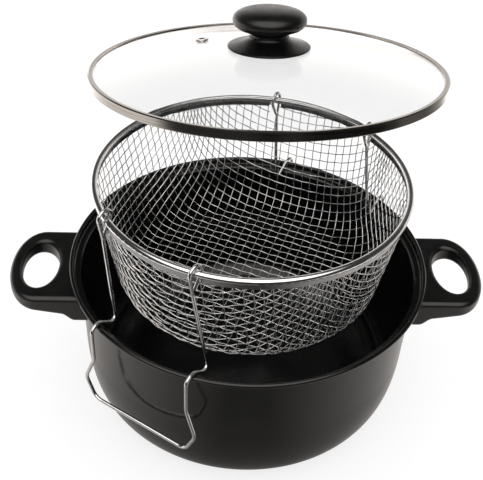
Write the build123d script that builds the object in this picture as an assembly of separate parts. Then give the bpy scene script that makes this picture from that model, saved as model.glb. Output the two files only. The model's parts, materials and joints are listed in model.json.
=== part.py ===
"""Stovetop chip pan: black pot, wire frying basket hung on the rim by two hook handles, glass lid above it.

Millimetres, +Z up. The origin is the centre of the pot's flat base, and +X runs through the right
side handle. The basket is in its draining position, and the lid is held off the pan, tilted.
"""

import os
from math import asin, atan2, cos, degrees, hypot, radians, sin, sqrt

from build123d import *

# ---- driving dimensions -------------------------------------------------------------------------
POT_HEIGHT = 110.0
POT_RIM_R = 122.5
POT_BASE_R = 83.0
POT_CORNER_TOP_R = 114.4          # wall radius where the bottom curve starts
POT_CORNER_Z = 56.0
POT_WALL_TOP_R = 115.8
POT_WALL_TOP_Z = 102.0
POT_SHEET = 1.2
POT_FLOOR = 1.8
CORNER_FULLNESS = 0.74            # how far the bottom curve bulges towards its corner, 0 to 1
RIM_BEAD_R = 1.55
LEDGE_Z = 105.0                   # the step that the lid sits on
LEDGE_OUTER_R = 119.4
LEDGE_OUTER_STEP = 0.8            # from the ledge down to the sheet's outside, on the outer flank

HANDLE_TOP_Z = 99.3
HANDLE_HALF_WIDTH = 37.0
HANDLE_TIP_X = 164.0
HANDLE_CURVE_X = 143.0            # where the straight sides turn into the rounded end
HANDLE_TIP_Z = 91.6               # underside at the tip
HANDLE_NECK_Z = 84.2              # underside beside the root
HANDLE_ROOT_Z = 78.4              # underside of the thick root against the wall
HANDLE_ROOT_X = 123.0
HANDLE_ROUNDING = 3.4
HANDLE_STEP = 4.0                 # half the length of the soft step from neck to root
HANDLE_CUT_LOW_Z = HANDLE_ROOT_Z - 5    # the cuts through the handle start below it
HANDLE_CUT_HEIGHT = 40.0
HOLE_X = 143.4
HOLE_HALF_LENGTH = 12.3
HOLE_HALF_WIDTH = 24.0
HOLE_ROUNDING = 3.0
HANDLE_FIT_GAP = 0.15             # between the handle's foot and the wall

BRACKET_LOW_Z = 83.5
BRACKET_HIGH_Z = 94.5
BRACKET_SHEET = 1.5
BRACKET_HALF_ANGLE = 9.0
TAB_END_X = 127.5
TAB_HALF_WIDTH = 8.0
TAB_LOW_Z = 89.0
BRACKET_CLEARANCE = 0.4           # round the bracket inside the handle's foot
SCREW_X = 122.4
SCREW_R = 2.0
SCREW_HEAD_R = 3.7
SCREW_HEAD_HEIGHT = 2.6
SCREW_SEAT_Z = 85.6               # bottom of the counterbore that the screw head bears on
SPRING_WASHER = 0.9
WASHER_SPLIT = (4.0, 0.7, 3.0)    # the saw cut: long, wide, high
CROSS_DEPTH = 0.5                 # how deep a screw's cross recess is, past the middle of its cutter

BASKET_BEAD_R = 102.2             # centre line of the rolled rim
BASKET_BEAD_Z = 174.0
BEAD_R = 2.2
CORE_WIRE_R = 1.5
BEAD_SHEET = 0.5
LIP_INSIDE = 1.35
LIP_OUTSIDE = 1.0
LIP_DEPTH = 5.0                   # from the bead's centre down to the lip's lower edge
LIP_NOTCH_HALF = 4.0
MESH_TOP_R = 102.2
MESH_BASE_R = 87.5
MESH_BASE_Z = 92.5
MESH_CORNER_R = 20.0
MESH_THICKNESS = 1.0

WIRE_R = 1.2
WINDOW_DEPTH = 20.5               # the eyes' windows in the mesh, below the bead's centre
WINDOW_GAP = 1.2                  # at each side of the wire
WINDOW_REACH = 26.0               # length of the block that cuts a window, across the rim
EYE_R = 5.2                       # wire centre line round the bead
EYE_CROTCH_OUT = 2.4
EYE_CROTCH_DOWN = 14.5
HANDLES = {                       # azimuth and half the spacing, of the eyes' pair and of the hooks' pair
    "front_wire_handle": ((-132.0, 37.7), (-125.3, 36.6)),
    "rear_wire_handle": ((57.2, 37.1), (53.65, 41.0)),
}
LEG_PROFILE = (                   # radius from the pan's axis, wider than the hooks, above the rim, bend
    (105.2, 0.0, -8.8, 3.6),
    (119.4, 0.0, 1.8, 4.2),
    (126.9, 0.0, 1.8, 4.8),
    (126.7, 0.0, -25.0, 14.0),
    (129.6, 7.4, -44.0, 8.0),
    (127.6, -0.1, -60.0, 8.0),
)
CROTCH_BEND = 4.0

LID_CENTRE = (9.65, 53.5, 219.2)
LID_TILT = (-11.0, -1.02, 0.0)
GLASS_R = 116.9
GLASS_THICKNESS = 3.5
DOME_RISE = 20.4                  # from the band's lower edge to the outside of the dome
DOME_EDGE_Z = 4.5
BAND_R = 118.5
BAND_HEIGHT = 5.4
BAND_SHEET = 0.75
BAND_LIP = 3.2
VENT_RADIUS = 51.0
VENT_AZIMUTH = 150.0
VENT_BORE_R = 2.2
VENT_SLEEVE_R = 3.0
VENT_FLANGE_R = 4.9
VENT_FLANGE = 0.7

KNOB_R = 24.2
KNOB_NECK_R = 12.5
KNOB_SKIRT_R = 27.3
KNOB_TOP_Z = 45.8
KNOB_WIDEST_Z = 38.0
KNOB_NECK_Z = 29.4
SKIRT_EDGE = 1.4
INSERT_R = 4.0
KNOB_SCREW_R = 2.5
KNOB_SCREW_HEAD_R = 4.6
KNOB_SCREW_HEAD = 2.4
KNOB_WASHER_R = 8.0
KNOB_WASHER = 1.0
KNOB_GASKET_R = 9.0
KNOB_GASKET = 1.1
STACK_GAP = 0.1                   # between the glass and the gasket


def polar(radius, azimuth, z=0.0):
    """The point at that radius and azimuth (degrees)."""
    return Vector(radius * cos(radians(azimuth)), radius * sin(radians(azimuth)), z)


def turned(edges):
    """The solid made by turning a closed outline in the XZ plane about Z."""
    return revolve(make_face(edges), axis=Axis.Z)


def path_xz(*points):
    """Straight edges through points given as (radius, z)."""
    return Polyline(*[(r, 0, z) for r, z in points])


def ring(inner, outer, low, high):
    """A plain washer or tube about Z."""
    return Pos(0, 0, low) * extrude(Circle(outer) - Circle(inner), high - low)


def disc(radius, low, high):
    return Pos(0, 0, low) * extrude(Circle(radius), high - low)


# ---- pot ----------------------------------------------------------------------------------------
def bottom_curve(base_r, base_z, top_r, top_z):
    """The full, rounded curve from the flat floor up to the straight wall."""
    lift = (top_z - base_z) * (1 - CORNER_FULLNESS)
    reach = (top_r - base_r) * CORNER_FULLNESS
    return Bezier(
        (base_r, 0, base_z),
        (base_r + reach, 0, base_z),
        (top_r, 0, base_z + lift),
        (top_r, 0, top_z),
    )


def pot_body():
    """One deep-drawn sheet: flat floor, full corner, near-straight wall, lid ledge and rolled bead."""
    bead_r = POT_RIM_R - RIM_BEAD_R
    bead_z = POT_HEIGHT - RIM_BEAD_R
    inside_r = POT_WALL_TOP_R - POT_SHEET
    outer = bottom_curve(POT_BASE_R, 0, POT_CORNER_TOP_R, POT_CORNER_Z)
    inner = bottom_curve(POT_BASE_R - 1, POT_FLOOR, POT_CORNER_TOP_R - POT_SHEET, POT_CORNER_Z)
    under_bead = (bead_r - 0.35, bead_z - RIM_BEAD_R + 0.08)
    outside = path_xz(
        (POT_CORNER_TOP_R, POT_CORNER_Z),
        (POT_WALL_TOP_R, POT_WALL_TOP_Z),
        (POT_WALL_TOP_R + 0.7, POT_WALL_TOP_Z + 1.4),
        (LEDGE_OUTER_R + 0.2, LEDGE_Z - LEDGE_OUTER_STEP),
        (LEDGE_OUTER_R + 0.9, LEDGE_Z + 0.3),
        under_bead,
    )
    bead_edge = (bead_r - RIM_BEAD_R, bead_z)
    bead = ThreePointArc(
        (under_bead[0], 0, under_bead[1]),
        (bead_r + RIM_BEAD_R * sin(radians(60)), 0, bead_z + RIM_BEAD_R * cos(radians(60))),
        (bead_edge[0], 0, bead_edge[1]),
    )
    inside = path_xz(
        bead_edge,
        (LEDGE_OUTER_R, LEDGE_Z + 0.7),
        (LEDGE_OUTER_R - 0.7, LEDGE_Z),
        (inside_r + 1.0, LEDGE_Z),
        (inside_r, LEDGE_Z - 1.2),
        (inside_r, POT_WALL_TOP_Z),
        (POT_CORNER_TOP_R - POT_SHEET, POT_CORNER_Z),
    )
    floor_inside = path_xz((POT_BASE_R - 1, POT_FLOOR), (0, POT_FLOOR), (0, 0), (POT_BASE_R, 0))
    return turned([outer, *outside.edges(), bead, *inside.edges(), inner, *floor_inside.edges()])


def wall_radius(z):
    """Outer radius of the pot's straight wall."""
    share = (z - POT_CORNER_Z) / (POT_WALL_TOP_Z - POT_CORNER_Z)
    return POT_CORNER_TOP_R + share * (POT_WALL_TOP_R - POT_CORNER_TOP_R)


def wall_cone(gap, low, high):
    """A solid that fills the pot's wall line, grown by gap."""
    corners = [(0, low), (wall_radius(low) + gap, low), (wall_radius(high) + gap, high), (0, high), (0, low)]
    return turned(path_xz(*corners).edges())


# ---- side handles, made on +X and mirrored for the left -----------------------------------------
def handle_outline():
    """Plan view: straight sides into one full rounded end."""
    start_x = POT_BASE_R
    w = HANDLE_HALF_WIDTH
    upper = Bezier(
        (HANDLE_CURVE_X, w),
        (HANDLE_CURVE_X + 0.6 * (HANDLE_TIP_X - HANDLE_CURVE_X), w),
        (HANDLE_TIP_X, 0.58 * w),
        (HANDLE_TIP_X, 0),
    )
    lower = Bezier(
        (HANDLE_TIP_X, 0),
        (HANDLE_TIP_X, -0.58 * w),
        (HANDLE_CURVE_X + 0.6 * (HANDLE_TIP_X - HANDLE_CURVE_X), -w),
        (HANDLE_CURVE_X, -w),
    )
    sides = Polyline((HANDLE_CURVE_X, -w), (start_x, -w), (start_x, w), (HANDLE_CURVE_X, w))
    return make_face([upper, lower, *sides.edges()])


def handle_side_view():
    """Side view: flat top, underside that thickens towards the wall in one soft step."""
    inner_x = POT_BASE_R
    outer_x = HANDLE_TIP_X + 5
    neck_x = HANDLE_ROOT_X + HANDLE_STEP
    root_x = HANDLE_ROOT_X - 1.5 * HANDLE_STEP
    top = path_xz((inner_x, HANDLE_ROOT_Z), (inner_x, HANDLE_TOP_Z), (outer_x, HANDLE_TOP_Z))
    under = path_xz((outer_x, HANDLE_TOP_Z), (outer_x, HANDLE_TIP_Z), (neck_x, HANDLE_NECK_Z))
    step = Bezier(
        (neck_x, 0, HANDLE_NECK_Z),
        (HANDLE_ROOT_X, 0, HANDLE_NECK_Z - 0.3),
        (HANDLE_ROOT_X - 1, 0, HANDLE_ROOT_Z),
        (root_x, 0, HANDLE_ROOT_Z),
    )
    root = path_xz((root_x, HANDLE_ROOT_Z), (inner_x, HANDLE_ROOT_Z))
    return make_face([*top.edges(), *under.edges(), step, *root.edges()])


def not_upright(edge):
    return abs((edge % 0.5).Z) < 0.7


def on_outside(edge):
    """True for the long edges round the handle's rounded end and sides."""
    return edge.center().X > HANDLE_ROOT_X - 2 * HANDLE_STEP and edge.length > 20 and not_upright(edge)


def on_hole(edge):
    """True for the two edges where the finger hole meets the handle's faces."""
    points = [edge @ share for share in (0.1, 0.5, 0.9)]
    near = [hypot((p.X - HOLE_X) / HOLE_HALF_LENGTH, p.Y / HOLE_HALF_WIDTH) for p in points]
    return all(abs(n - 1) < 0.02 for n in near) and not_upright(edge)


def bracket_pocket():
    """The shallow recess in the handle's foot that clears the bracket's plate."""
    span = BRACKET_HALF_ANGLE + 1.0
    low = BRACKET_LOW_Z - BRACKET_CLEARANCE
    high = BRACKET_HIGH_Z + BRACKET_CLEARANCE
    plate = plate_outline(low, high, -2, BRACKET_SHEET + BRACKET_CLEARANCE)
    return Rot(0, 0, -span) * revolve(plate, axis=Axis.Z, revolution_arc=2 * span)


def plate_outline(low, high, inside, outside):
    """Section of a plate that follows the wall, from inside to outside of the wall's own radius."""
    corners = [
        (wall_radius(low) + inside, low),
        (wall_radius(low) + outside, low),
        (wall_radius(high) + outside, high),
        (wall_radius(high) + inside, high),
        (wall_radius(low) + inside, low),
    ]
    return make_face(path_xz(*corners).edges())


def side_handle():
    """Moulded loop handle: oval finger hole, foot shaped to the wall, pocket for the bracket, screw bore."""
    plan = Pos(0, 0, HANDLE_CUT_LOW_Z) * extrude(handle_outline(), HANDLE_CUT_HEIGHT)
    body = plan & extrude(handle_side_view(), 2 * HANDLE_HALF_WIDTH, both=True)
    body = fillet(body.edges().filter_by(on_outside), HANDLE_ROUNDING)
    hole = extrude(Ellipse(HOLE_HALF_LENGTH, HOLE_HALF_WIDTH), HANDLE_CUT_HEIGHT)
    body = body - Pos(HOLE_X, 0, HANDLE_CUT_LOW_Z) * hole
    body = fillet(body.edges().filter_by(on_hole), HOLE_ROUNDING)
    body = body - wall_cone(HANDLE_FIT_GAP, HANDLE_ROOT_Z - 10, HANDLE_TOP_Z + 2) - bracket_pocket()
    slot_start = POT_WALL_TOP_R - 2
    slot_end = TAB_END_X + BRACKET_CLEARANCE
    slot_width = 2 * (TAB_HALF_WIDTH + BRACKET_CLEARANCE)
    slot = Box(slot_end - slot_start, slot_width, BRACKET_SHEET + BRACKET_CLEARANCE)
    slot = Pos((slot_start + slot_end) / 2, 0, TAB_LOW_Z + BRACKET_SHEET / 2) * slot
    bore = disc(SCREW_R + 0.3, HANDLE_CUT_LOW_Z, TAB_LOW_Z + 6)
    counterbore = disc(SCREW_HEAD_R + 0.4, HANDLE_CUT_LOW_Z, SCREW_SEAT_Z)
    return body - slot - Pos(SCREW_X, 0, 0) * (bore + counterbore)


def bracket():
    """Steel bracket spot-welded to the wall: a curved plate and a flat tab with a tapped hole."""
    section = plate_outline(BRACKET_LOW_Z, BRACKET_HIGH_Z, 0, BRACKET_SHEET)
    plate = revolve(section, axis=Axis.Z, revolution_arc=2 * BRACKET_HALF_ANGLE)
    start = wall_radius(TAB_LOW_Z) + BRACKET_SHEET / 2
    tab = Box(TAB_END_X - start, 2 * TAB_HALF_WIDTH, BRACKET_SHEET)
    tab = Pos((start + TAB_END_X) / 2, 0, TAB_LOW_Z + BRACKET_SHEET / 2) * tab
    tapped = Pos(SCREW_X, 0, 0) * disc(SCREW_R, TAB_LOW_Z - 1, TAB_LOW_Z + 4)
    return Rot(0, 0, -BRACKET_HALF_ANGLE) * plate + tab - tapped


def cross_recess(head_low_z, width, slot):
    """Cutter for the cross recess in the underside of a screw's head."""
    bar = Box(width, slot, 2 * CROSS_DEPTH + 0.3)
    return Pos(0, 0, head_low_z + CROSS_DEPTH - 0.1) * (bar + Rot(0, 0, 90) * bar)


def handle_screw():
    """Pan-head screw from below, with a cross recess."""
    head_top = SCREW_SEAT_Z - SPRING_WASHER
    head_low = head_top - SCREW_HEAD_HEIGHT
    head = disc(SCREW_HEAD_R, head_low, head_top)
    head = fillet(head.edges().sort_by(Axis.Z)[0], 1.0)
    shank = disc(SCREW_R - 0.02, head_top, TAB_LOW_Z + 4)
    return Pos(SCREW_X, 0, 0) * (head + shank - cross_recess(head_low, 4.4, 0.9))


def spring_washer():
    """Split washer under the screw head."""
    split = Pos(3, 0, SCREW_SEAT_Z - SPRING_WASHER / 2) * Rot(20, 0, 0) * Box(*WASHER_SPLIT)
    washer = ring(SCREW_R + 0.15, SCREW_HEAD_R - 0.2, SCREW_SEAT_Z - SPRING_WASHER, SCREW_SEAT_Z)
    return Pos(SCREW_X, 0, 0) * (washer - split)


def mirrored(shape):
    return mirror(shape, about=Plane.YZ)


# ---- basket -------------------------------------------------------------------------------------
def mesh_outline(offset):
    """The mesh's profile from floor to rim, moved outwards by offset: floor, corner arc, sloping wall."""
    top_z = BASKET_BEAD_Z - BEAD_R - 0.1
    slope = atan2(MESH_TOP_R - MESH_BASE_R, top_z - MESH_BASE_Z)
    corner = MESH_CORNER_R + offset
    centre_z = MESH_BASE_Z + MESH_CORNER_R
    wall_r = MESH_TOP_R - (top_z - centre_z) * (MESH_TOP_R - MESH_BASE_R) / (top_z - MESH_BASE_Z)
    centre_r = wall_r - MESH_CORNER_R / cos(slope)
    floor_z = MESH_BASE_Z - offset
    angles = (-slope, radians(-50))
    tangent, middle = [(centre_r + corner * cos(a), 0, centre_z + corner * sin(a)) for a in angles]
    top_r = tangent[0] + (top_z - tangent[2]) * sin(slope) / cos(slope)
    arc = ThreePointArc((centre_r, 0, floor_z), middle, tangent)
    return Line((0, 0, floor_z), (centre_r, 0, floor_z)), arc, Line(tangent, (top_r, 0, top_z))


def eye_place(name, side):
    """Centre of the rim bead where one wire eye grips it, side -1 or +1 along the pair's chord."""
    azimuth, half_spacing = HANDLES[name][0]
    half_angle = degrees(asin(half_spacing / BASKET_BEAD_R))
    return polar(BASKET_BEAD_R, azimuth + side * half_angle, BASKET_BEAD_Z)


def eye_windows(low, high, half_width):
    """One block for each wire eye, across the rim in the handle's own direction."""
    blocks = []
    for name, ((azimuth, _), _) in HANDLES.items():
        for side in (-1, 1):
            centre = eye_place(name, side)
            block = Rot(0, 0, azimuth) * Box(WINDOW_REACH, 2 * half_width, high - low)
            blocks.append(Pos(centre.X, centre.Y, (low + high) / 2) * block)
    return blocks


def basket_mesh():
    """Thin closed shell with the woven basket's outer shape, open where the wire eyes pass through it."""
    inner = mesh_outline(-MESH_THICKNESS / 2)
    outer = mesh_outline(MESH_THICKNESS / 2)
    floor = Line(inner[0] @ 0, outer[0] @ 0)
    top = Line(inner[2] @ 1, outer[2] @ 1)
    shell = turned([*inner, *outer, floor, top])
    for block in eye_windows(BASKET_BEAD_Z - WINDOW_DEPTH, BASKET_BEAD_Z, WIRE_R + WINDOW_GAP):
        shell = shell - block
    return shell


def rim_torus(section_r):
    return turned([Pos(BASKET_BEAD_R, 0, BASKET_BEAD_Z) * Rot(90, 0, 0) * Edge.make_circle(section_r)])


def basket_rim():
    """Steel strip rolled round the core wire, with a double lip that clamps the mesh."""
    lip_top = BASKET_BEAD_Z - BEAD_R + 0.5
    lip_low = BASKET_BEAD_Z - LIP_DEPTH
    lip = ring(BASKET_BEAD_R - LIP_INSIDE, BASKET_BEAD_R + LIP_OUTSIDE, lip_low, lip_top)
    groove = MESH_THICKNESS / 2 + 0.1
    lip = lip - ring(BASKET_BEAD_R - groove - 0.5, BASKET_BEAD_R + groove, lip_low - 1, lip_top + 1)
    for block in eye_windows(lip_low - 1, BASKET_BEAD_Z - BEAD_R + 0.15, LIP_NOTCH_HALF):
        lip = lip - block
    return rim_torus(BEAD_R) + lip - rim_torus(BEAD_R - BEAD_SHEET)


# ---- wire handles -------------------------------------------------------------------------------
def leg_points(name, side):
    """Where one leg's eye sits, the leg's corners from the eye's crotch to the end bar, and their bends."""
    (eye_azimuth, _), (hook_azimuth, half_spacing) = HANDLES[name]
    eye = eye_place(name, side)
    points = [eye + polar(EYE_CROTCH_OUT, eye_azimuth, -EYE_CROTCH_DOWN)]
    for radius, wider, height, _ in LEG_PROFILE:
        sideways = half_spacing + wider
        along = polar(sqrt(radius**2 - sideways**2), hook_azimuth, POT_HEIGHT + height)
        points.append(along + polar(side * sideways, hook_azimuth + 90))
    return eye, points, [bend for *_, bend in LEG_PROFILE]


def eye_curve(eye, azimuth, crotch):
    """The open eye round the bead: an arc over it, and straight sides that meet at the crotch."""
    reach = hypot(EYE_CROTCH_OUT, EYE_CROTCH_DOWN)
    down = atan2(-EYE_CROTCH_DOWN, EYE_CROTCH_OUT)
    spread = radians(90) - asin(EYE_R / reach)
    angles = (down - spread, down + radians(180), down + spread)
    inner, top, outer = [eye + polar(EYE_R * cos(a), azimuth, EYE_R * sin(a)) for a in angles]
    open_gap = 1.15 * (2 * WIRE_R + 0.5)
    end = crotch + (inner - crotch).normalized() * open_gap
    return end, inner, top, outer


def wire_handle(name):
    """One bent wire: open eye, leg, hook over the rim, outer leg, end bar, and the same back again."""
    eye_azimuth = HANDLES[name][0][0]
    left_eye, left, bends = leg_points(name, -1)
    right_eye, right, _ = leg_points(name, 1)
    l_end, l_inner, l_top, l_outer = eye_curve(left_eye, eye_azimuth, left[0])
    r_end, r_inner, r_top, r_outer = eye_curve(right_eye, eye_azimuth, right[0])
    corners = [l_outer, *left, *reversed(right), r_outer]
    radii = [CROTCH_BEND, *bends, *reversed(bends), CROTCH_BEND]
    route = Wire([
        Line(l_end, l_inner).edge(),
        ThreePointArc(l_inner, l_top, l_outer).edge(),
        *FilletPolyline(*corners, radius=radii).edges(),
        ThreePointArc(r_outer, r_top, r_inner).edge(),
        Line(r_inner, r_end).edge(),
    ])
    section = Plane(origin=route @ 0, z_dir=route % 0) * Circle(WIRE_R)
    solid = sweep(section, path=route)
    swept = solid.volume / (section.area * route.length)
    print(name, "wire length", round(route.length, 1), "volume ratio", round(swept, 4))
    return solid


# ---- lid, made about its own axis with the band's lower edge at z = 0 ----------------------------
def dome_radius():
    rise = DOME_RISE - DOME_EDGE_Z
    return (GLASS_R**2 + rise**2) / (2 * rise)


def dome_z(radius):
    """Height of the dome's outside at that radius."""
    big = dome_radius()
    return DOME_RISE - big + sqrt(big**2 - radius**2)


def at_vent(shape):
    """Puts a shape whose z = 0 is the dome's outside onto the dome at the vent, square to the glass."""
    lean = degrees(asin(VENT_RADIUS / dome_radius()))
    dome_centre = Pos(0, 0, DOME_RISE - dome_radius()) * Rot(0, 0, VENT_AZIMUTH)
    return dome_centre * Rot(0, lean, 0) * Pos(0, 0, dome_radius()) * shape


def lid_glass():
    """Shallow tempered-glass dome with a hole for the knob's screw and one for the vent."""
    centre_z = DOME_RISE - dome_radius()
    inner_big = dome_radius() - GLASS_THICKNESS
    edge_z, half_z = [centre_z + sqrt(inner_big**2 - r**2) for r in (GLASS_R, GLASS_R / 2)]
    over_edge = (GLASS_R, 0, dome_z(GLASS_R))
    outer = ThreePointArc((0, 0, DOME_RISE), (GLASS_R / 2, 0, dome_z(GLASS_R / 2)), over_edge)
    inner = ThreePointArc((GLASS_R, 0, edge_z), (GLASS_R / 2, 0, half_z), (0, 0, DOME_RISE - GLASS_THICKNESS))
    side = path_xz((GLASS_R, dome_z(GLASS_R)), (GLASS_R, edge_z))
    middle = path_xz((0, DOME_RISE - GLASS_THICKNESS), (0, DOME_RISE))
    glass = turned([outer, side.edge(), inner, middle.edge()])
    knob_hole = disc(KNOB_SCREW_R + 0.7, 0, DOME_RISE + 5)
    vent_hole = at_vent(disc(VENT_SLEEVE_R + 0.05, -2 * GLASS_THICKNESS, GLASS_THICKNESS))
    return glass - knob_hole - vent_hole


def circles_of(shape, radius):
    """The shape's circular edges of that radius, lowest first."""
    circles = shape.edges().filter_by(GeomType.CIRCLE)
    return ShapeList(e for e in circles if abs(e.radius - radius) < 0.01).sort_by(Axis.Z)


def lid_band():
    """Stainless band crimped over the glass edge: outer wall, top lip on the dome, bottom lip under it."""
    top_lip_r = BAND_R - BAND_LIP
    top_z = BAND_HEIGHT
    wall = ring(BAND_R - BAND_SHEET, BAND_R, 0, top_z)
    bottom = ring(BAND_R - BAND_SHEET - 2.2, BAND_R, 0, BAND_SHEET)
    lip_z = dome_z(GLASS_R)
    lip_inner_z = dome_z(top_lip_r) + 0.02
    lip = turned(
        path_xz(
            (top_lip_r, lip_inner_z),
            (GLASS_R, lip_z + 0.02),
            (BAND_R, lip_z + 0.02),
            (BAND_R, top_z),
            (BAND_R - 1.0, top_z + 0.5),
            (top_lip_r, lip_inner_z + BAND_SHEET),
            (top_lip_r, lip_inner_z),
        ).edges()
    )
    band = wall + bottom + lip
    return fillet(circles_of(band, BAND_R)[0], 0.6)


def vent_eyelet():
    """Steam vent: a steel sleeve through the glass, flared over it above and below."""
    top = 0.05
    low = -GLASS_THICKNESS - 0.05
    sleeve = ring(VENT_BORE_R, VENT_SLEEVE_R, low - VENT_FLANGE, top + VENT_FLANGE)
    upper = ring(VENT_BORE_R, VENT_FLANGE_R, top, top + VENT_FLANGE)
    upper = fillet(circles_of(upper, VENT_FLANGE_R)[-1], 0.5)
    lower = ring(VENT_BORE_R, VENT_FLANGE_R - 0.5, low - VENT_FLANGE, low)
    return at_vent(sleeve + upper + lower)


def skirt_profile():
    """Underside on the dome, thin outer edge, hollow flare up to the neck."""
    seat = dome_z(KNOB_SKIRT_R) + 0.25
    top = KNOB_NECK_Z - 2.0
    flare = Bezier(
        (KNOB_SKIRT_R - 0.6, 0, seat + SKIRT_EDGE),
        (KNOB_NECK_R + 6.5, 0, seat + SKIRT_EDGE + 2.0),
        (KNOB_NECK_R + 1.2, 0, top - 3.0),
        (KNOB_NECK_R + 0.6, 0, top),
    )
    under = path_xz(
        (KNOB_NECK_R + 0.6, top),
        (INSERT_R + 1.0, top),
        (INSERT_R + 1.0, DOME_RISE + 0.15),
        (KNOB_NECK_R, DOME_RISE + 0.1),
        (KNOB_SKIRT_R - 0.6, seat),
        (KNOB_SKIRT_R, seat + 0.5),
        (KNOB_SKIRT_R, seat + SKIRT_EDGE - 0.4),
        (KNOB_SKIRT_R - 0.6, seat + SKIRT_EDGE),
    )
    return [flare, *under.edges()]


def knob_head():
    """Mushroom grip: hollow neck on the skirt, full rounded rim, low crowned top."""
    low = KNOB_NECK_Z - 2.0
    neck = Line((KNOB_NECK_R, 0, low), (KNOB_NECK_R, 0, KNOB_NECK_Z - 0.5))
    under = Bezier(
        (KNOB_NECK_R, 0, KNOB_NECK_Z - 0.5),
        (KNOB_NECK_R + 0.4, 0, KNOB_NECK_Z + 2.4),
        (KNOB_R, 0, KNOB_WIDEST_Z - 7.0),
        (KNOB_R, 0, KNOB_WIDEST_Z),
    )
    over = Bezier(
        (KNOB_R, 0, KNOB_WIDEST_Z),
        (KNOB_R, 0, KNOB_WIDEST_Z + 5.6),
        (KNOB_R * 0.62, 0, KNOB_TOP_Z),
        (0, 0, KNOB_TOP_Z),
    )
    inside = path_xz(
        (0, KNOB_TOP_Z),
        (0, KNOB_WIDEST_Z),
        (INSERT_R, KNOB_WIDEST_Z),
        (INSERT_R, low),
        (KNOB_NECK_R, low),
    )
    return turned([neck, under, over, *inside.edges()])


def knob_insert():
    """Brass threaded insert moulded into the grip, down to the glass."""
    body = ring(KNOB_SCREW_R, INSERT_R, DOME_RISE + 0.2, KNOB_WIDEST_Z)
    for z in (KNOB_NECK_Z + 0.5, KNOB_NECK_Z + 3.5):
        body = body - ring(INSERT_R - 0.4, INSERT_R + 1, z, z + 0.8)
    return body


def under_glass(depth):
    """Height of a level that far below the glass at the lid's centre."""
    return DOME_RISE - GLASS_THICKNESS - STACK_GAP - depth


def knob_screw():
    """Pan-head screw up through the glass into the insert."""
    seat = under_glass(KNOB_GASKET + KNOB_WASHER)
    head = disc(KNOB_SCREW_HEAD_R, seat - KNOB_SCREW_HEAD, seat)
    head = fillet(head.edges().sort_by(Axis.Z)[0], 1.1)
    shank = disc(KNOB_SCREW_R - 0.02, seat, KNOB_WIDEST_Z - 3)
    return head + shank - cross_recess(seat - KNOB_SCREW_HEAD, 5.2, 1.0)


def knob_gasket():
    """Silicone washer between the glass and the steel washer."""
    return ring(KNOB_SCREW_R + 0.1, KNOB_GASKET_R, under_glass(KNOB_GASKET), under_glass(0))


def knob_washer():
    low = under_glass(KNOB_GASKET + KNOB_WASHER)
    return ring(KNOB_SCREW_R + 0.1, KNOB_WASHER_R, low, under_glass(KNOB_GASKET))


def on_lid(shape):
    return Pos(*LID_CENTRE) * Rot(*LID_TILT) * shape


def build():
    """Every node of the object, by name."""
    handle = side_handle()
    nodes = {
        "pot_body": pot_body(),
        "right_handle": handle,
        "left_handle": mirrored(handle),
        "right_handle_bracket": bracket(),
        "left_handle_bracket": mirrored(bracket()),
        "right_handle_screw": handle_screw(),
        "left_handle_screw": mirrored(handle_screw()),
        "right_handle_washer": spring_washer(),
        "left_handle_washer": mirrored(spring_washer()),
        "basket_mesh": basket_mesh(),
        "basket_rim": basket_rim(),
        "basket_rim_core_wire": rim_torus(CORE_WIRE_R),
        "lid_glass": on_lid(lid_glass()),
        "lid_band": on_lid(lid_band()),
        "vent_eyelet": on_lid(vent_eyelet()),
        "knob": on_lid(knob_head()),
        "knob_skirt": on_lid(turned(skirt_profile())),
        "knob_insert": on_lid(knob_insert()),
        "knob_screw": on_lid(knob_screw()),
        "knob_washer": on_lid(knob_washer()),
        "knob_gasket": on_lid(knob_gasket()),
    }
    for name in HANDLES:
        nodes[name] = wire_handle(name)
    return nodes


os.makedirs("parts", exist_ok=True)
for node, shape in build().items():
    export_step(shape, f"parts/{node}.step")
    print(node, "solids", len(shape.solids()), "valid", shape.is_valid)
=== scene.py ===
"""Looks of a stovetop chip pan: black pot, woven wire basket hung on its rim, glass lid held above it.

Everything is in metres, in the CAD model's frame. The CAD nodes keep their shapes and get procedural
materials. The basket's plain shell is replaced by woven wire cloth, in which every wire is modelled.
"""
import json
from itertools import product
from math import atan2, cos, pi, radians, sin, sqrt

import bpy
import numpy as np
from mathutils import Matrix, Vector


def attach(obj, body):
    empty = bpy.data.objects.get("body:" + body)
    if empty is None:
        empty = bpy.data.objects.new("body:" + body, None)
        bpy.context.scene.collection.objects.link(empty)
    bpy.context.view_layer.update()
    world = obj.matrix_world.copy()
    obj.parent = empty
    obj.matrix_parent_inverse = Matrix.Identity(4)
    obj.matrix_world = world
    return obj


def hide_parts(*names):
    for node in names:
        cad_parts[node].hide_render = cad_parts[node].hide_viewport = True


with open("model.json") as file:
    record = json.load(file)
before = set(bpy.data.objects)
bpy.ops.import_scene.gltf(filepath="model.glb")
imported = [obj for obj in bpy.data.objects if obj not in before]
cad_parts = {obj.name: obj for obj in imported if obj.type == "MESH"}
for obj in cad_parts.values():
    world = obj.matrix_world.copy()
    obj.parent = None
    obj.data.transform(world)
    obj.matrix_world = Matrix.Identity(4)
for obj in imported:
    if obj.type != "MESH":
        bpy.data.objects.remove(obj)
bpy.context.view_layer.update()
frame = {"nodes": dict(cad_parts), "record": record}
MM = 0.001

# ---- camera, fitted to the photograph -----------------------------------------------------------
CAMERA_AT = (-0.03224, -0.49721, 0.51926)
CAMERA_YAW = 3.094      # degrees from +Y towards +X
CAMERA_DOWN = 38.546    # degrees below level
CAMERA_ROLL = 2.918     # degrees, its right-hand side up
CAMERA_LENS = 69.42     # millimetres, for a sensor this wide
CAMERA_SENSOR = 36.0

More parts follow.
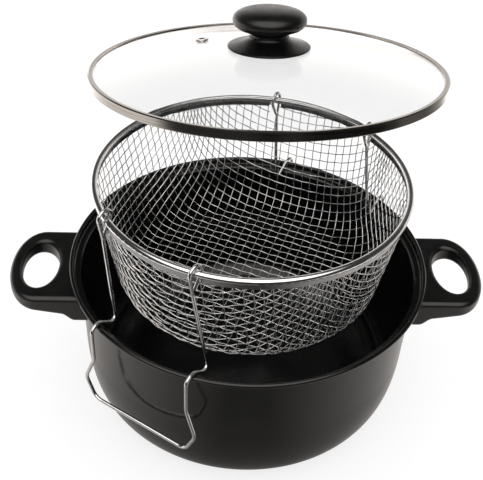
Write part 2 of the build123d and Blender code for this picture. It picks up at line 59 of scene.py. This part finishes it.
# ---- studio: white to the eye; reflections see lit surroundings, and light and shade painted on the floor ---
# Where four numbers stand together they are: from, to, value at the first, value at the second.
FLOOR_SIZE = 24.0
FLOOR_DROP = 0.0004     # below the pan, so that the two don't share a plane
FLOOR_GREYS = ((0.31, 0.31, 0.31), (0.34, 0.34, 0.34))
FLOOR_GLOW = 0.75
# Painted light and shade on the floor, seen only in reflections: painted light to the sides and behind,
# painted shade in the middle and in front.
FLOOR_PAINTED_LIGHT = (1.0, 0.95, 0.915)      # colour of the painted light that reflections see on it
FLOOR_ACROSS = (0.03, 0.32, 0.14, 1.15)   # by distance off the middle, to the left or right
FLOOR_RIGHT = (0.36, 0.52, 1.0, 0.04)     # times this by X: it ends on the right
FLOOR_AHEAD = (-0.44, -0.22, 0.03, 1.0)   # times this by Y: it fades out far in front of the pan
FLOOR_NEAR = (-0.20, -0.11, 0.0, 0.10)    # plus this by Y: from just in front of the pan backwards
FLOOR_BEHIND = (0.15, 0.50, 0.0, 0.80)    # plus this by Y: where it runs into the backdrop
WORLD_WHITE = 1.0
ROOM_COLOUR = (1.0, 0.97, 0.94)
ROOM_REFLECTED = 0.04
CANOPY_TOWARDS = (-0.10, -0.45, 0.89)     # middle of the soft canopy, overhead and in front
CANOPY_SPREAD = (0.62, 0.84, 0.0, 2.0)    # by the cosine of the angle away from that
BACKDROP_HEIGHT = (0.50, 0.05, 0.0, 1.0)  # by how steeply a reflection runs upwards
BACKDROP_DEPTH = (0.2, 0.7, 0.0, 1.0)     # and how far it runs backwards
SOFTBOX_AIM = (0.0, 0.0, 0.12)
SOFTBOXES = (  # name, place, size, brightness
    ("left_softbox", (-1.2, 0.0, 0.10), (0.8, 0.35), 0.4),
    ("right_softbox", (1.2, 0.0, 0.10), (0.8, 0.35), 0.3),
)

# ---- materials ----------------------------------------------------------------------------------
NOISE_SPAN = (0.3, 0.7)             # the part of a noise's range that colours and roughness use
ROUND_STREAKS = (0.0015, 1.0, 1.0)  # shrinks the angle, so that noise streaks round the axis
LID_CENTRE = (9.65 * MM, 53.5 * MM, 219.2 * MM)
LID_TILT = (radians(-11.0), radians(-1.02), 0.0)
LIP_DARKENING = (171.6 * MM, 172.3 * MM, 0.38, 1.0)  # share of the rim's colour kept, by height up its strip: darker towards its bottom
SHARP_ANGLE = radians(34)

# ---- woven cloth of the basket, drawn as one sheet into the basket's shape ----------------------
CLOTH_TOP_R = 102.2 * MM
CLOTH_BASE_R = 87.5 * MM           # the sloping wall's radius if it ran on down to the floor
CLOTH_BASE_Z = 92.5 * MM
CLOTH_TOP_Z = 171.7 * MM
CLOTH_CORNER_R = 20.0 * MM
CLOTH_END_Z = 171.0 * MM           # where the rim's lip hides the cut ends
CLOTH_SPARE = 8 * MM               # draped this far past the end
CLOTH_PITCH = 6.53 * MM
CLOTH_CENTRE = (1.9 * MM, 0.0)     # the crossing that the two first wires share
CLOTH_AZIMUTHS = (71.4, 154.5)     # directions of the two first wires
CLOTH_LONGEST = 220 * MM           # no wire goes on further than this from there
CLOTH_REACH = int(CLOTH_LONGEST / CLOTH_PITCH) + 1
CLOTH_SHUT_CELL = 0.3 * CLOTH_PITCH  # a cell whose diagonal comes out shorter than this is left out
CLOTH_WIRE_R = 0.35 * MM
CLOTH_CRIMPS = (0.12 * MM, 0.34 * MM)  # how far the wires of each direction swing to each side
WIRE_SIDES = 6
SAMPLES_PER_CELL = 4
WIRE_EYES = ((-132.0, 37.7 * MM), (57.2, 37.1 * MM))  # each wire handle's azimuth, half its eyes' spacing
EYE_ROOM = 1.9 * MM                # the cloth is opened this far to each side of an eye
EYE_ROOM_LOW_Z = 161.5 * MM        # and down to here

# ---- how the cloth is worked out ----------------------------------------------------------------
PITCH_ROUNDS = 8                   # corrections of a step along a wire
CORNER_ROUNDS = 12                 # at most this many of a crossing
CORNER_STEP = 2 * MM               # longest move towards a crossing in one round
CORNER_CLOSE = 1e-9                # a move this short ends the search
TINY = 1e-12
OFF_AXIS = 1e-9                    # a point on the axis counts as this far off it
SETTLE_ROUNDS = 300
SETTLE_STEP = 0.9                  # share of each pull that is followed in one round
SHEAR_STIFFNESS = 0.07             # a cell's stiffness along its diagonals, against 1 along its wires
STEEP = 0.9                        # a wire that starts this nearly upright takes its side from X, not Z


# ---- objects ------------------------------------------------------------------------------------
def new_object(name, verts, faces):
    """A smooth-shaded mesh object at the origin."""
    mesh = bpy.data.meshes.new(name)
    mesh.from_pydata([tuple(v) for v in verts], [], faces)
    mesh.validate()
    mesh.shade_smooth()
    piece = bpy.data.objects.new(name, mesh)
    bpy.context.scene.collection.objects.link(piece)
    return piece


def give(piece, material):
    piece.data.materials.clear()
    piece.data.materials.append(material)


# ---- shader nodes -------------------------------------------------------------------------------
class Graph:
    """A node tree, with short ways to add what the materials and the world share."""

    def __init__(self, tree):
        self.nodes = tree.nodes
        self.links = tree.links

    def maths(self, operation, *terms):
        """A sum or other operation on outputs or numbers."""
        node = self.nodes.new("ShaderNodeMath")
        node.operation = operation
        for socket, term in zip(node.inputs, terms):
            if isinstance(term, bpy.types.NodeSocket):
                self.links.new(term, socket)
            else:
                socket.default_value = term
        return node.outputs["Value"]

    def ranged(self, source, values, interpolation="SMOOTHSTEP"):
        """The source mapped between four limits: from, to, value at the first, value at the second."""
        node = self.nodes.new("ShaderNodeMapRange")
        node.interpolation_type = interpolation
        for socket, value in zip(("From Min", "From Max", "To Min", "To Max"), values):
            node.inputs[socket].default_value = value
        self.links.new(source, node.inputs["Value"])
        return node.outputs["Result"]

    def axes(self, source):
        """The X, Y and Z outputs of a vector."""
        node = self.nodes.new("ShaderNodeSeparateXYZ")
        self.links.new(source, node.inputs["Vector"])
        return node.outputs

    def reflect(self, direct, reflected, output):
        """Shows the one shader to rays that have met nothing glossy, and the other to reflections."""
        mix = self.nodes.new("ShaderNodeMixShader")
        path = self.nodes.new("ShaderNodeLightPath")
        self.links.new(path.outputs["Glossy Depth"], mix.inputs["Fac"])
        self.links.new(direct, mix.inputs[1])
        self.links.new(reflected, mix.inputs[2])
        self.links.new(mix.outputs["Shader"], output.inputs["Surface"])


class Surface(Graph):
    """A Principled material whose colour, roughness and relief come from noise in the object's space."""

    def __init__(self, name, metallic=0.0):
        self.material = bpy.data.materials.new(name)
        self.material.use_nodes = True
        super().__init__(self.material.node_tree)
        self.shader = self.nodes["Principled BSDF"]
        self.shader.inputs["Metallic"].default_value = metallic
        self.place = self.nodes.new("ShaderNodeTexCoord").outputs["Object"]
        self.relief = None

    def noise(self, scale, detail, stretch, place):
        """Noise with that many features per metre, stretched by a factor along each axis."""
        node = self.nodes.new("ShaderNodeTexNoise")
        node.inputs["Scale"].default_value = scale
        node.inputs["Detail"].default_value = detail
        source = place or self.place
        if stretch:
            mapping = self.nodes.new("ShaderNodeMapping")
            mapping.inputs["Scale"].default_value = stretch
            self.links.new(source, mapping.inputs["Vector"])
            source = mapping.outputs["Vector"]
        self.links.new(source, node.inputs["Vector"])
        return node.outputs["Fac"]

    def colour(self, dark, light, scale, detail=3.0, stretch=None, place=None):
        """Clouds between two colours."""
        ramp = self.nodes.new("ShaderNodeValToRGB")
        for element, position, shade in zip(ramp.color_ramp.elements, NOISE_SPAN, (dark, light)):
            element.position = position
            element.color = (*shade, 1.0)
        self.links.new(self.noise(scale, detail, stretch, place), ramp.inputs["Fac"])
        self.links.new(ramp.outputs["Color"], self.shader.inputs["Base Color"])

    def roughness(self, low, high, scale, detail=3.0, stretch=None, place=None):
        fac = self.noise(scale, detail, stretch, place)
        rough = self.ranged(fac, (*NOISE_SPAN, low, high), "LINEAR")
        self.links.new(rough, self.shader.inputs["Roughness"])

    def bump(self, scale, height, detail=2.0, stretch=None, place=None):
        """Adds relief of about that height in metres."""
        node = self.nodes.new("ShaderNodeBump")
        node.inputs["Distance"].default_value = height
        self.links.new(self.noise(scale, detail, stretch, place), node.inputs["Height"])
        if self.relief:
            self.links.new(self.relief, node.inputs["Normal"])
        self.relief = node.outputs["Normal"]
        self.links.new(self.relief, self.shader.inputs["Normal"])

    def around(self, centre=(0.0, 0.0, 0.0), tilt=(0.0, 0.0, 0.0)):
        """Coordinates that run round an axis, for noise that streaks round it: angle, radius, height."""
        mapping = self.nodes.new("ShaderNodeMapping")
        mapping.vector_type = "TEXTURE"
        mapping.inputs["Location"].default_value = centre
        mapping.inputs["Rotation"].default_value = tilt
        self.links.new(self.place, mapping.inputs["Vector"])
        axes = self.axes(mapping.outputs["Vector"])
        flat = self.nodes.new("ShaderNodeCombineXYZ")
        self.links.new(axes["X"], flat.inputs["X"])
        self.links.new(axes["Y"], flat.inputs["Y"])
        length = self.nodes.new("ShaderNodeVectorMath")
        length.operation = "LENGTH"
        self.links.new(flat.outputs["Vector"], length.inputs[0])
        joined = self.nodes.new("ShaderNodeCombineXYZ")
        self.links.new(self.maths("ARCTAN2", axes["Y"], axes["X"]), joined.inputs["X"])
        self.links.new(length.outputs["Value"], joined.inputs["Y"])
        self.links.new(axes["Z"], joined.inputs["Z"])
        return joined.outputs["Vector"]


# ---- camera -------------------------------------------------------------------------------------
def make_camera():
    """The camera that was fitted to the photograph."""
    yaw, down, roll = radians(CAMERA_YAW), radians(CAMERA_DOWN), radians(CAMERA_ROLL)
    forward = Vector((sin(yaw) * cos(down), cos(yaw) * cos(down), -sin(down)))
    level = Vector((cos(yaw), -sin(yaw), 0.0))
    upright = level.cross(forward)
    right = level * cos(roll) + upright * sin(roll)
    up = upright * cos(roll) - level * sin(roll)
    data = bpy.data.cameras.new("camera")
    data.lens = CAMERA_LENS
    data.sensor_width = CAMERA_SENSOR
    camera = bpy.data.objects.new("camera", data)
    axes = Matrix((right, up, -forward)).transposed().to_4x4()
    camera.matrix_world = Matrix.Translation(CAMERA_AT) @ axes
    bpy.context.scene.collection.objects.link(camera)
    bpy.context.scene.camera = camera


# ---- studio -------------------------------------------------------------------------------------
def area_light(name, at, size, brightness):
    """A softbox that faces the object and looks equally bright whatever its size."""
    data = bpy.data.lights.new(name, "AREA")
    data.shape = "RECTANGLE"
    data.size, data.size_y = size
    data.energy = brightness * pi * size[0] * size[1]
    light = bpy.data.objects.new(name, data)
    light.location = at
    light.rotation_mode = "QUATERNION"
    light.rotation_quaternion = (Vector(SOFTBOX_AIM) - Vector(at)).to_track_quat("-Z", "Y")
    bpy.context.scene.collection.objects.link(light)


def make_world():
    """White surroundings; reflections see a dim room, a soft canopy overhead and a lit backdrop behind."""
    world = bpy.data.worlds.new("studio")
    bpy.context.scene.world = world
    world.use_nodes = True
    graph = Graph(world.node_tree)
    graph.nodes.clear()
    white = graph.nodes.new("ShaderNodeBackground")
    white.inputs["Color"].default_value = (1.0, 1.0, 1.0, 1.0)
    white.inputs["Strength"].default_value = WORLD_WHITE
    room = graph.nodes.new("ShaderNodeBackground")
    room.inputs["Color"].default_value = (*ROOM_COLOUR, 1.0)
    direction = graph.nodes.new("ShaderNodeTexCoord").outputs["Generated"]
    towards = graph.nodes.new("ShaderNodeVectorMath")
    towards.operation = "DOT_PRODUCT"
    towards.inputs[1].default_value = Vector(CANOPY_TOWARDS).normalized()
    graph.links.new(direction, towards.inputs[0])
    canopy = graph.ranged(towards.outputs["Value"], CANOPY_SPREAD)
    axes = graph.axes(direction)
    low = graph.ranged(axes["Z"], BACKDROP_HEIGHT)
    behind = graph.ranged(axes["Y"], BACKDROP_DEPTH)
    lit = graph.maths("ADD", canopy, graph.maths("MULTIPLY", low, behind))
    graph.links.new(graph.maths("ADD", lit, ROOM_REFLECTED), room.inputs["Strength"])
    output = graph.nodes.new("ShaderNodeOutputWorld")
    graph.reflect(white.outputs["Background"], room.outputs["Background"], output)


def make_floor():
    """A white floor. Reflections see painted light and shade on it: painted shade in the middle and in
    front, painted light to the sides and behind.
    """
    half = FLOOR_SIZE / 2
    corners = [(-half, -half), (half, -half), (half, half), (-half, half)]
    floor = new_object("studio_floor", [(x, y, -FLOOR_DROP) for x, y in corners], [(0, 1, 2, 3)])
    surface = Surface("floor_white")
    surface.colour(*FLOOR_GREYS, 2.0)
    surface.roughness(0.8, 0.9, 3.0)
    surface.shader.inputs["Emission Color"].default_value = (1.0, 1.0, 1.0, 1.0)
    surface.shader.inputs["Emission Strength"].default_value = FLOOR_GLOW
    axes = surface.axes(surface.place)
    # painted light and shade for reflections: its strength by place on the floor
    across = surface.ranged(surface.maths("ABSOLUTE", axes["X"]), FLOOR_ACROSS, "LINEAR")
    right = surface.ranged(axes["X"], FLOOR_RIGHT)
    ahead = surface.ranged(axes["Y"], FLOOR_AHEAD)
    near = surface.ranged(axes["Y"], FLOOR_NEAR)
    behind = surface.ranged(axes["Y"], FLOOR_BEHIND)
    sides = surface.maths("MULTIPLY", surface.maths("MULTIPLY", across, right), ahead)
    middle = surface.maths("ADD", near, behind)
    painted_light = surface.nodes.new("ShaderNodeEmission")
    painted_light.inputs["Color"].default_value = (*FLOOR_PAINTED_LIGHT, 1.0)
    surface.links.new(surface.maths("ADD", sides, middle), painted_light.inputs["Strength"])
    output = surface.nodes["Material Output"]
    surface.reflect(surface.shader.outputs["BSDF"], painted_light.outputs["Emission"], output)
    give(floor, surface.material)


def make_studio():
    """The surroundings, the lights and the floor."""
    bpy.context.scene.view_settings.view_transform = "Standard"
    make_world()
    for name, at, size, brightness in SOFTBOXES:
        area_light(name, at, size, brightness)
    make_floor()


# ---- materials ----------------------------------------------------------------------------------
# colour: dark, light, features per metre. roughness: low, high, features per metre.
# bump: features per metre, height in metres.
def pot_coating():
    """Satin black non-stick coating, sprayed: fine orange peel and faint cloudiness."""
    s = Surface("pot_coating")
    s.colour((0.0036, 0.0034, 0.0033), (0.0056, 0.0054, 0.0052), 35.0)
    s.roughness(0.10, 0.15, 60.0)
    s.bump(420.0, 0.00003)
    s.bump(2600.0, 0.000008)
    return s.material


def phenolic(name):
    """Moulded black phenolic: satin, very fine grain."""
    s = Surface(name)
    s.colour((0.0024, 0.0023, 0.0022), (0.0038, 0.0036, 0.0035), 90.0)
    s.roughness(0.27, 0.36, 140.0)
    s.bump(1800.0, 0.000015)
    return s.material


def basket_wire():
    """Bright tinned wire with slight tarnish."""
    s = Surface("basket_wire", metallic=1.0)
    s.colour((0.54, 0.545, 0.55), (0.86, 0.865, 0.87), 240.0)
    s.roughness(0.16, 0.26, 500.0)
    s.bump(3000.0, 0.00001)
    return s.material


def rim_steel():
    """Polished rolled strip with faint lengthways lines, darker towards the bottom of its strip, where it
    is pressed on the cloth.
    """
    s = Surface("basket_rim_steel", metallic=1.0)
    ring = s.around()
    s.colour((0.72, 0.72, 0.73), (0.88, 0.88, 0.88), 60.0)
    base = s.shader.inputs["Base Color"]
    darkened = s.nodes.new("ShaderNodeVectorMath")
    darkened.operation = "SCALE"
    s.links.new(base.links[0].from_socket, darkened.inputs[0])
    s.links.new(s.ranged(s.axes(s.place)["Z"], LIP_DARKENING), darkened.inputs["Scale"])
    s.links.new(darkened.outputs["Vector"], base)
    s.roughness(0.08, 0.15, 900.0, stretch=ROUND_STREAKS, place=ring)
    s.bump(2400.0, 0.000004, stretch=ROUND_STREAKS, place=ring)
    return s.material


def handle_wire():
    """Bright plated wire, drawn smooth."""
    s = Surface("handle_wire", metallic=1.0)
    s.colour((0.60, 0.60, 0.60), (0.78, 0.78, 0.79), 150.0)
    s.roughness(0.10, 0.19, 320.0)
    s.bump(1500.0, 0.000008)
    return s.material


def band_steel():
    """Satin stainless band with brushing that runs round the lid."""
    s = Surface("lid_band_steel", metallic=1.0)
    ring = s.around(LID_CENTRE, LID_TILT)
    s.colour((0.32, 0.30, 0.275), (0.48, 0.46, 0.43), 1500.0, stretch=ROUND_STREAKS, place=ring)
    s.roughness(0.11, 0.19, 1100.0, stretch=ROUND_STREAKS, place=ring)
    s.bump(3200.0, 0.00001, stretch=ROUND_STREAKS, place=ring)
    return s.material


def small_metal(name, dark, light, polished, matt, colour_scale=300.0, rough_scale=700.0):
    """Punched or turned small parts, with a roughness that runs from polished to matt."""
    s = Surface(name, metallic=1.0)
    s.colour(dark, light, colour_scale)
    s.roughness(polished, matt, rough_scale)
    s.bump(2500.0, 0.00001)
    return s.material


def silicone():
    s = Surface("gasket_silicone")
    s.colour((0.66, 0.65, 0.62), (0.78, 0.77, 0.74), 300.0)
    s.roughness(0.45, 0.6, 500.0)
    s.bump(1500.0, 0.00001)
    s.shader.inputs["Subsurface Weight"].default_value = 0.3
    s.shader.inputs["Subsurface Scale"].default_value = 0.002
    return s.material


def tempered_glass():
    """Clear glass, faintly wavy from the press."""
    s = Surface("lid_glass")
    s.colour((0.985, 0.989, 0.990), (0.992, 0.995, 0.996), 25.0)
    s.roughness(0.0, 0.025, 40.0)
    s.bump(30.0, 0.00004, detail=1.0)
    s.shader.inputs["Transmission Weight"].default_value = 1.0
    return s.material


# ---- the CAD nodes' materials -------------------------------------------------------------------
def dress_cad():
    """Smooth shading and a procedural material for each CAD node, by its material slot."""
    shared = {
        "pot_coating": pot_coating(),
        "handle_phenolic": phenolic("handle_phenolic"),
        "knob_phenolic": phenolic("knob_phenolic"),
        "basket_wire": small_metal("core_wire", (0.5, 0.5, 0.5), (0.65, 0.65, 0.66), 0.3, 0.42),
        "basket_rim_steel": rim_steel(),
        "handle_wire": handle_wire(),
        "lid_band_steel": band_steel(),
        "eyelet_steel": small_metal("eyelet_steel", (0.58, 0.57, 0.55), (0.72, 0.71, 0.69), 0.16, 0.28),
        "bracket_steel": small_metal("bracket_steel", (0.42, 0.42, 0.43), (0.55, 0.55, 0.56), 0.34, 0.46),
        "fastener_steel": small_metal("fastener_steel", (0.5, 0.51, 0.53), (0.66, 0.67, 0.69), 0.24, 0.36),
        "insert_brass": small_metal(
            "insert_brass", (0.60, 0.42, 0.17), (0.78, 0.58, 0.27), 0.22, 0.34, 400.0, 900.0
        ),
        "gasket_silicone": silicone(),
        "lid_glass": tempered_glass(),
    }
    for part in frame["record"]["subparts"]:
        node = frame["nodes"][part["node"]]
        node.data.shade_smooth()
        node.data.set_sharp_from_angle(angle=SHARP_ANGLE)
        give(node, shared[part["material_slot"]])


# ---- the cloth's surface ------------------------------------------------------------------------
def cloth_profile():
    """Slope of the basket's wall, and the centre of its corner's arc, worked out from the driving sizes."""
    slope = atan2(CLOTH_TOP_R - CLOTH_BASE_R, CLOTH_TOP_Z - CLOTH_BASE_Z)
    centre_z = CLOTH_BASE_Z + CLOTH_CORNER_R
    drop = (CLOTH_TOP_Z - centre_z) / (CLOTH_TOP_Z - CLOTH_BASE_Z)
    wall_r = CLOTH_TOP_R - drop * (CLOTH_TOP_R - CLOTH_BASE_R)
    return slope, wall_r - CLOTH_CORNER_R / cos(slope), centre_z


SLOPE, CORNER_AT_R, CORNER_AT_Z = cloth_profile()


def on_cloth(points):
    """The nearest points on the cloth's middle surface, and the outward normals there."""
    radius = np.maximum(np.hypot(points[:, 0], points[:, 1]), OFF_AXIS)
    out = points[:, :2] / radius[:, None]
    height = points[:, 2]
    angle = np.arctan2(height - CORNER_AT_Z, radius - CORNER_AT_R)
    wall_r = CORNER_AT_R + CLOTH_CORNER_R * cos(SLOPE)
    wall_z = CORNER_AT_Z - CLOTH_CORNER_R * sin(SLOPE)
    along = (radius - wall_r) * sin(SLOPE) + (height - wall_z) * cos(SLOPE)
    corner_r = CORNER_AT_R + CLOTH_CORNER_R * np.cos(angle)
    corner_z = CORNER_AT_Z + CLOTH_CORNER_R * np.sin(angle)
    floor = (radius <= CORNER_AT_R) & (height < CORNER_AT_Z)
    corner = ~floor & (angle < -SLOPE)
    zones = [floor, corner]
    r = np.select(zones, [radius, corner_r], wall_r + along * sin(SLOPE))
    z = np.select(zones, [CLOTH_BASE_Z, corner_z], wall_z + along * cos(SLOPE))
    normal_r = np.select(zones, [0.0, np.cos(angle)], cos(SLOPE))
    normal_z = np.select(zones, [-1.0, np.sin(angle)], -sin(SLOPE))
    return np.column_stack((out * r[:, None], z)), np.column_stack((out * normal_r[:, None], normal_z))


def nearest(point):
    """The same for one point."""
    spots, normals = on_cloth(point[None, :])
    return spots[0], normals[0]


# ---- the weave's crossings ----------------------------------------------------------------------
def next_along(point, heading):
    """One pitch further along a wire that runs straight over the cloth's surface."""
    guess = point + heading * CLOTH_PITCH
    for _ in range(PITCH_ROUNDS):
        away = nearest(guess)[0] - point
        guess = point + away * (CLOTH_PITCH / np.linalg.norm(away))
    return nearest(guess)[0]


def corner_of(a, b, guess):
    """The crossing that is one pitch from a and one from b, or None where the cloth can't close a cell."""
    for _ in range(CORNER_ROUNDS):
        spot, normal = nearest(guess)
        rows = np.array([guess - a, guess - b, normal])
        errors = np.array([
            ((guess - a) @ (guess - a) - CLOTH_PITCH**2) / 2,
            ((guess - b) @ (guess - b) - CLOTH_PITCH**2) / 2,
            (guess - spot) @ normal,
        ])
        if abs(np.linalg.det(rows)) < TINY:
            return None
        move = np.linalg.solve(rows, -errors)
        size = np.linalg.norm(move)
        guess = guess + move * min(1.0, CORNER_STEP / max(size, TINY))
        if size < CORNER_CLOSE:
            return guess
    return None


def first_wires(top):
    """Crossings of the two first wires by (warp, weft) number, stepped out both ways past the top."""
    start = nearest(np.array([*CLOTH_CENTRE, CLOTH_BASE_Z]))[0]
    crossings = {(0, 0): start}
    for sense in (1, -1):
        for family, azimuth in enumerate(CLOTH_AZIMUTHS):
            point = start
            heading = sense * np.array([cos(radians(azimuth)), sin(radians(azimuth)), 0.0])
            for k in range(1, CLOTH_REACH):
                ahead = next_along(point, heading)
                heading = (ahead - point) / np.linalg.norm(ahead - point)
                point = ahead
                crossings[(sense * k, 0) if family == 0 else (0, sense * k)] = point
                if point[2] > top:
                    break
    return crossings


def drape():
    """All crossings of the cloth by (warp, weft) number: every cell keeps its sides and only shears."""
    top = CLOTH_END_Z + CLOTH_SPARE
    crossings = first_wires(top)
    for warp, weft in product((1, -1), repeat=2):
        for i, j in product(range(1, CLOTH_REACH), repeat=2):
            a = crossings.get((warp * (i - 1), weft * j))
            b = crossings.get((warp * i, weft * (j - 1)))
            back = crossings.get((warp * (i - 1), weft * (j - 1)))
            if a is None or b is None or back is None or min(a[2], b[2]) > top:
                continue
            spot = corner_of(a, b, a + b - back)
            if spot is not None and np.linalg.norm(spot - back) > CLOTH_SHUT_CELL:
                crossings[warp * i, weft * j] = spot
    return crossings


def settle(crossings):
    """Lets the sheared cells open a little, as stiff wires do, while the cloth stays on its surface."""
    keys = sorted(crossings)
    number = {key: n for n, key in enumerate(keys)}
    points = np.array([crossings[key] for key in keys])
    springs = []
    for steps, rest, stiffness in (
        (((1, 0), (0, 1)), CLOTH_PITCH, 1.0),
        (((1, 1), (-1, 1)), CLOTH_PITCH * sqrt(2), SHEAR_STIFFNESS),
    ):
        ends = [((i, j), (i + a, j + b)) for i, j in keys for a, b in steps]
        pairs = [(number[near], number[far]) for near, far in ends if far in number]
        springs.append((np.array(pairs), rest, stiffness))
    share = np.zeros(len(points))
    for pairs, _, stiffness in springs:
        np.add.at(share, pairs.ravel(), stiffness)
    for _ in range(SETTLE_ROUNDS):
        moves = np.zeros_like(points)
        for pairs, rest, stiffness in springs:
            gap = points[pairs[:, 1]] - points[pairs[:, 0]]
            length = np.linalg.norm(gap, axis=1, keepdims=True)
            pull = 0.5 * stiffness * (length - rest) * gap / length
            np.add.at(moves, pairs[:, 0], pull)
            np.add.at(moves, pairs[:, 1], -pull)
        points = on_cloth(points + SETTLE_STEP * moves / share[:, None])[0]
    return {key: points[number[key]] for key in keys}


# ---- the weave's wires --------------------------------------------------------------------------
def wires_of(crossings):
    """Every wire, in both directions of the weave, as its crossings' keys in runs with no gap."""
    for family in (0, 1):
        lines = sorted({key[1 - family] for key in crossings})
        for line in lines:
            keys = sorted(key for key in crossings if key[1 - family] == line)
            run = [keys[0]]
            for key in keys[1:]:
                if key[family] != run[-1][family] + 1:
                    yield family, run
                    run = []
                run.append(key)
            yield family, run


def clear_of_eyes(points):
    """Whether each point is outside the openings that the wire handles' eyes pass and turn through."""
    clear = np.ones(len(points), bool)
    for azimuth, half_spacing in WIRE_EYES:
        out_x, out_y = cos(radians(azimuth)), sin(radians(azimuth))
        out = points[:, 0] * out_x + points[:, 1] * out_y
        sideways = np.abs(points[:, 1] * out_x - points[:, 0] * out_y)
        beside = np.abs(sideways - half_spacing) > EYE_ROOM
        clear &= beside | (out < 0) | (points[:, 2] < EYE_ROOM_LOW_Z)
    return clear


def through(a, b, c, d, t):
    """A point on the smooth curve from b to c, whose neighbours are a and d."""
    curve = 2 * b + (c - a) * t + (2 * a - 5 * b + 4 * c - d) * t**2 + (3 * b - a - 3 * c + d) * t**3
    return 0.5 * curve


def crimped(family, run, crossings):
    """One wire's lengths, swinging over and under those that it crosses, cut at the rim and the eyes."""
    knots = np.array([crossings[key] for key in run])
    if len(knots) < 3:
        return []
    before = np.vstack((2 * knots[0] - knots[1], knots[:-2]))
    after = np.vstack((knots[2:], 2 * knots[-1] - knots[-2]))
    points, swing = [], []
    for k in range(len(knots) - 1):
        over = 1 if (sum(run[k]) + family) % 2 == 0 else -1
        for n in range(SAMPLES_PER_CELL):
            t = n / SAMPLES_PER_CELL
            points.append(through(before[k], knots[k], knots[k + 1], after[k], t))
            swing.append(over * cos(pi * t))
    spots, normals = on_cloth(np.array(points))
    line = spots + normals * (np.array(swing) * CLOTH_CRIMPS[family])[:, None]
    kept = (spots[:, 2] < CLOTH_END_Z) & clear_of_eyes(line)
    lengths = np.split(np.arange(len(line)), np.flatnonzero(np.diff(kept.astype(int))) + 1)
    return [line[length] for length in lengths if kept[length[0]] and len(length) > 2]


def tube(line, radius, sides):
    """Vertices and faces of a closed round wire along a line of points."""
    ahead = np.gradient(line, axis=0)
    ahead /= np.linalg.norm(ahead, axis=1, keepdims=True)
    side = np.cross(ahead[0], [0.0, 0.0, 1.0] if abs(ahead[0][2]) < STEEP else [1.0, 0.0, 0.0])
    sideways = []
    for direction in ahead:
        side = side - direction * (side @ direction)
        side = side / np.linalg.norm(side)
        sideways.append(side)
    sideways = np.array(sideways)
    across = np.cross(ahead, sideways)
    turns = np.arange(sides) * 2 * pi / sides
    cosines, sines = np.cos(turns)[None, :, None], np.sin(turns)[None, :, None]
    rings = line[:, None, :] + radius * (cosines * sideways[:, None, :] + sines * across[:, None, :])
    faces = []
    for k in range(len(line) - 1):
        for n in range(sides):
            m = (n + 1) % sides
            faces.append((k * sides + n, k * sides + m, (k + 1) * sides + m, (k + 1) * sides + n))
    last = (len(line) - 1) * sides
    faces.append(tuple(reversed(range(sides))))
    faces.append(tuple(last + n for n in range(sides)))
    return rings.reshape(-1, 3), faces


def woven_basket():
    """The basket's cloth as one piece: every wire of the weave, crimped over and under."""
    crossings = settle(drape())
    verts, faces, count = [], [], 0
    for family, run in wires_of(crossings):
        for line in crimped(family, run, crossings):
            ring_verts, ring_faces = tube(line, CLOTH_WIRE_R, WIRE_SIDES)
            verts.append(ring_verts)
            faces += [tuple(count + n for n in face) for face in ring_faces]
            count += len(ring_verts)
    piece = new_object("woven_basket", np.vstack(verts), faces)
    give(piece, basket_wire())
    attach(piece, "basket")
    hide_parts("basket_mesh")


make_camera()
make_studio()
dress_cad()
woven_basket()
